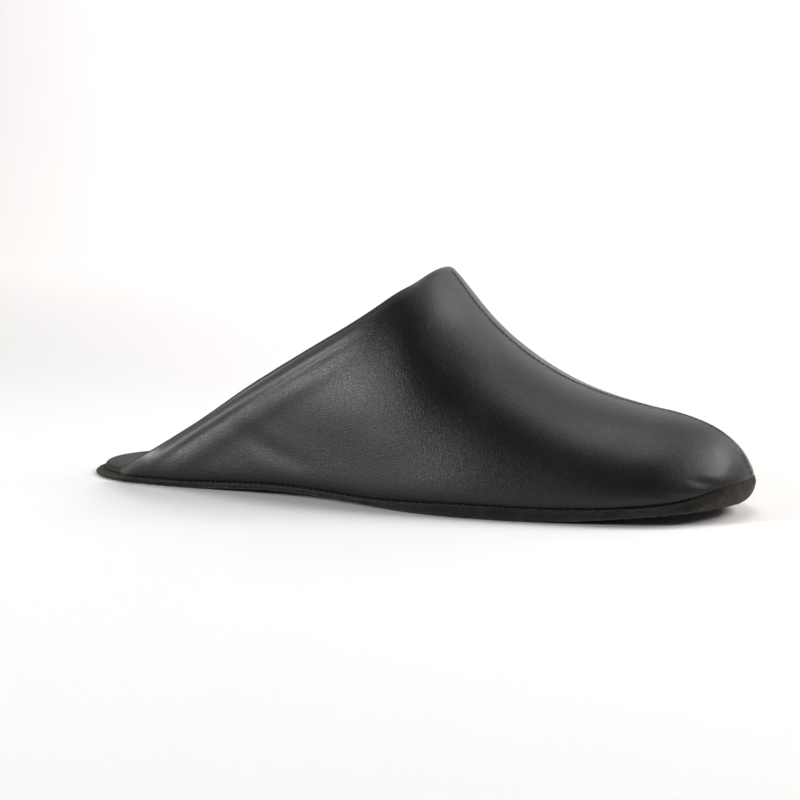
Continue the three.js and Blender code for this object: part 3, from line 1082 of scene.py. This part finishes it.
def ring_line(out, height):
    """Closed ring beside the feather line: outer side heel to toe, then inner side back."""
    k = np.arange(2 * AROUND)
    t = (1 - np.cos(np.pi * k / AROUND)) / 2
    points = np.zeros((2 * AROUND, 3))
    for side, part in ((OUTER, k <= AROUND), (INNER, k > AROUND)):
        nx, ny = outward(t[part], side)
        points[part, 0] = t[part] * LENGTH + out(t[part]) * nx
        points[part, 1] = side * half_width(t[part], side) + out(t[part]) * ny
        points[part, 2] = height(t[part], side)
    points[0, :2] = -out(t[0]), 0
    points[AROUND, :2] = LENGTH + out(t[AROUND]), 0
    return points


def ring_faces(rings):
    """Faces of a shell of rings, closed across its two ends."""
    count = 2 * AROUND
    number = np.arange(rings * count).reshape(rings, count)
    quads = [grid_quads(np.concatenate([number, number[:, :1]], 1), True)]
    for ring, flip in ((number[0], False), (number[-1], True)):
        near = ring[:AROUND + 1]
        far = np.concatenate([ring[:1], ring[AROUND:][::-1]])
        quads.append(grid_quads(np.stack([near, far]), flip))
    return clean_faces(np.concatenate(quads))


def band_out(t, out, up):
    """How far a row of the band stands out past the feather line; at the toe it rounds under."""
    under = ease((t - TOE_UNDER_START) / (TOE_UNDER_END - TOE_UNDER_START)) * (1 - up) ** UNDER_POWER
    return out * BAND_OUT - TOE_UNDER * under


def sock_out(t, inset):
    """How far a row of the sock stands out past the feather line, which is less than nothing."""
    toe = ease((t - TOE_START) / (1 - TOE_START))
    return -WALL - SOCK_CLEAR - SOCK_TOE_CLEAR * toe - inset * SOCK_EDGE


def sole_suede():
    """Outsole with its rounded band, roughened by the nap."""
    rings = [
        ring_line(
            lambda t: band_out(t, out, min(up, 1)),
            lambda t, side: underside(t, side) + max(up, 0) * (edge_height(t) - GAP),
        )
        for out, up in profile(BAND, BAND_ROWS)
    ]
    points, faces = np.concatenate(rings), ring_faces(len(rings))
    rough = np.random.default_rng(NAP_SEED).normal(0, 1, (len(rings), 2 * AROUND))
    rough = rough + np.roll(rough, 1, axis=1) + np.roll(rough, 1, axis=0)
    points = points + normals_of(points, faces) * (NAP_ROUGH * rough.reshape(-1, 1))
    points[:, 2] = np.maximum(points[:, 2], 0)
    return make_piece("sole_suede", points, faces, SUEDE, "brown_suede")


def insole_sock():
    """Padded sock with a rounded edge and a low dome."""
    rings = [
        ring_line(
            lambda t: sock_out(t, max(inset, 0)),
            lambda t, side: feather_height(t, side) + np.clip(up, 0, 1) * SOCK_EDGE + dome * SOCK_DOME,
        )
        for inset, up, dome in profile(SOCK, SOCK_ROWS)
    ]
    faces = ring_faces(len(rings))
    return make_piece("insole_sock", np.concatenate(rings), faces, SOCK_LEATHER, "sock_leather")


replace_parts(upper_skin(), "upper")
upper_lining()
seam_stitches()
feather_stitches()
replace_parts(sole_suede(), "sole")
sock = insole_sock()
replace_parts(sock, "insole")

# camera, placed as for the photograph by the toe's feather point, then turned to frame the whole shoe
AZIMUTH = np.radians(18)
ELEVATION = np.radians(5.2)
DISTANCE = 750.0
PIXELS_PER_MM = 3.87
TOE_PIXEL = (646, 632)
FRAME_PIXELS = 800
FRAME_WIDE = 322.0
MIDDLE = (136.0, 0.0, 36.0)
SENSOR = 36.0
NEAREST_SEEN = 0.01


def photo_camera():
    """Camera at the photograph's angle to the shoe."""
    back = Vector((
        np.sin(AZIMUTH) * np.cos(ELEVATION),
        -np.cos(AZIMUTH) * np.cos(ELEVATION),
        np.sin(ELEVATION),
    ))
    right = Vector((np.cos(AZIMUTH), np.sin(AZIMUTH), 0))
    up = back.cross(right)
    toe = Vector((LENGTH, 0, TOE_TOP))
    aside = (TOE_PIXEL[0] - FRAME_PIXELS / 2) / PIXELS_PER_MM
    above = (FRAME_PIXELS / 2 - TOE_PIXEL[1]) / PIXELS_PER_MM
    place = toe + back * DISTANCE - right * aside - up * above
    away = place - Vector(MIDDLE)
    data = bpy.data.cameras.new("camera")
    data.sensor_width = SENSOR
    data.lens = away.length * SENSOR / FRAME_WIDE
    data.clip_start = NEAREST_SEEN
    camera = bpy.data.objects.new("camera", data)
    camera.location = row(place)
    camera.rotation_euler = away.to_track_quat("Z", "Y").to_euler()
    bpy.context.collection.objects.link(camera)
    bpy.context.scene.camera = camera


photo_camera()

# studio, in metres: the paper's reach, where it starts to curve up, the curve and its top
PAPER_REACH = 2.5
PAPER_BEND = 1.2
PAPER_CURVE = 0.6
PAPER_STEPS = 12
PAPER_TOP = 2.0
TOOTH_CELLS = 300.0
PAPER_ROUGH = 0.9


def paper_floor():
    """White paper that the shoe stands on and that curves up far behind it."""
    steps = [(-PAPER_REACH, 0.0), (PAPER_BEND, 0.0)]
    for k in range(1, PAPER_STEPS + 1):
        angle = np.pi / 2 * k / PAPER_STEPS
        steps.append((PAPER_BEND + PAPER_CURVE * np.sin(angle), PAPER_CURVE * (1 - np.cos(angle))))
    steps.append((PAPER_BEND + PAPER_CURVE, PAPER_TOP))
    points = [(x, y, z) for y, z in steps for x in (-PAPER_REACH, PAPER_REACH)]
    number = np.arange(len(points)).reshape(len(steps), 2)
    mesh = bpy.data.meshes.new("paper_floor")
    mesh.from_pydata(points, [], grid_quads(number, False).tolist())
    mesh.polygons.foreach_set("use_smooth", [True] * len(mesh.polygons))
    material, tree, shader, place = new_material("white_paper")
    tooth = node(tree, "ShaderNodeTexNoise", Scale=TOOTH_CELLS, Detail=2.0)
    tree.links.new(place, tooth.inputs["Vector"])
    colour = mix(tree, tooth.outputs["Fac"], (0.93, 0.93, 0.93), (0.95, 0.95, 0.95))
    tree.links.new(colour, shader.inputs["Base Color"])
    shader.inputs["Roughness"].default_value = PAPER_ROUGH
    mesh.materials.append(material)
    piece = bpy.data.objects.new("paper_floor", mesh)
    bpy.context.collection.objects.link(piece)


WARM = (1.0, 0.965, 0.945)
COOL = (0.965, 0.985, 1.0)
SHOE = (0, 0, 0.03)
BACKDROP = (-0.3, 1.8, 0.9)
WORLD_LIGHT = 0.08

# soft lamps: name, place, what it is aimed at, width and height, watts, tint
LAMPS = [
    ("top", (0.05, 0.25, 1.15), SHOE, (0.6, 0.4), 4.4, WARM),
    ("back_right", (0.78, 0.54, 0.78), SHOE, (0.46, 0.42), 6.5, WARM),
    ("right", (1.17, 0.2, 0.76), SHOE, (0.3, 0.3), 6.3, WARM),
    ("left", (-1.02, -1.07, 0.44), SHOE, (0.28, 0.28), 19, COOL),
    ("backdrop", (-0.3, 0.8, 1.3), BACKDROP, (2.6, 0.5), 24, WARM),
]


def softbox(name, place, aim, size, power, tint):
    """One rectangular lamp."""
    data = bpy.data.lights.new(name, "AREA")
    data.shape = "RECTANGLE"
    data.size, data.size_y = size
    data.energy = power
    data.color = tint
    lamp = bpy.data.objects.new(name, data)
    lamp.location = place
    lamp.rotation_euler = (Vector(place) - Vector(aim)).to_track_quat("Z", "Y").to_euler()
    bpy.context.collection.objects.link(lamp)


def studio_world():
    """Even white light all round."""
    world = bpy.data.worlds.new("studio")
    world.use_nodes = True
    background = world.node_tree.nodes["Background"]
    background.inputs["Color"].default_value = (1, 1, 1, 1)
    background.inputs["Strength"].default_value = WORLD_LIGHT
    bpy.context.scene.world = world
    bpy.context.scene.view_settings.view_transform = "Standard"


paper_floor()
for lamp_row in LAMPS:
    softbox(*lamp_row)
studio_world()
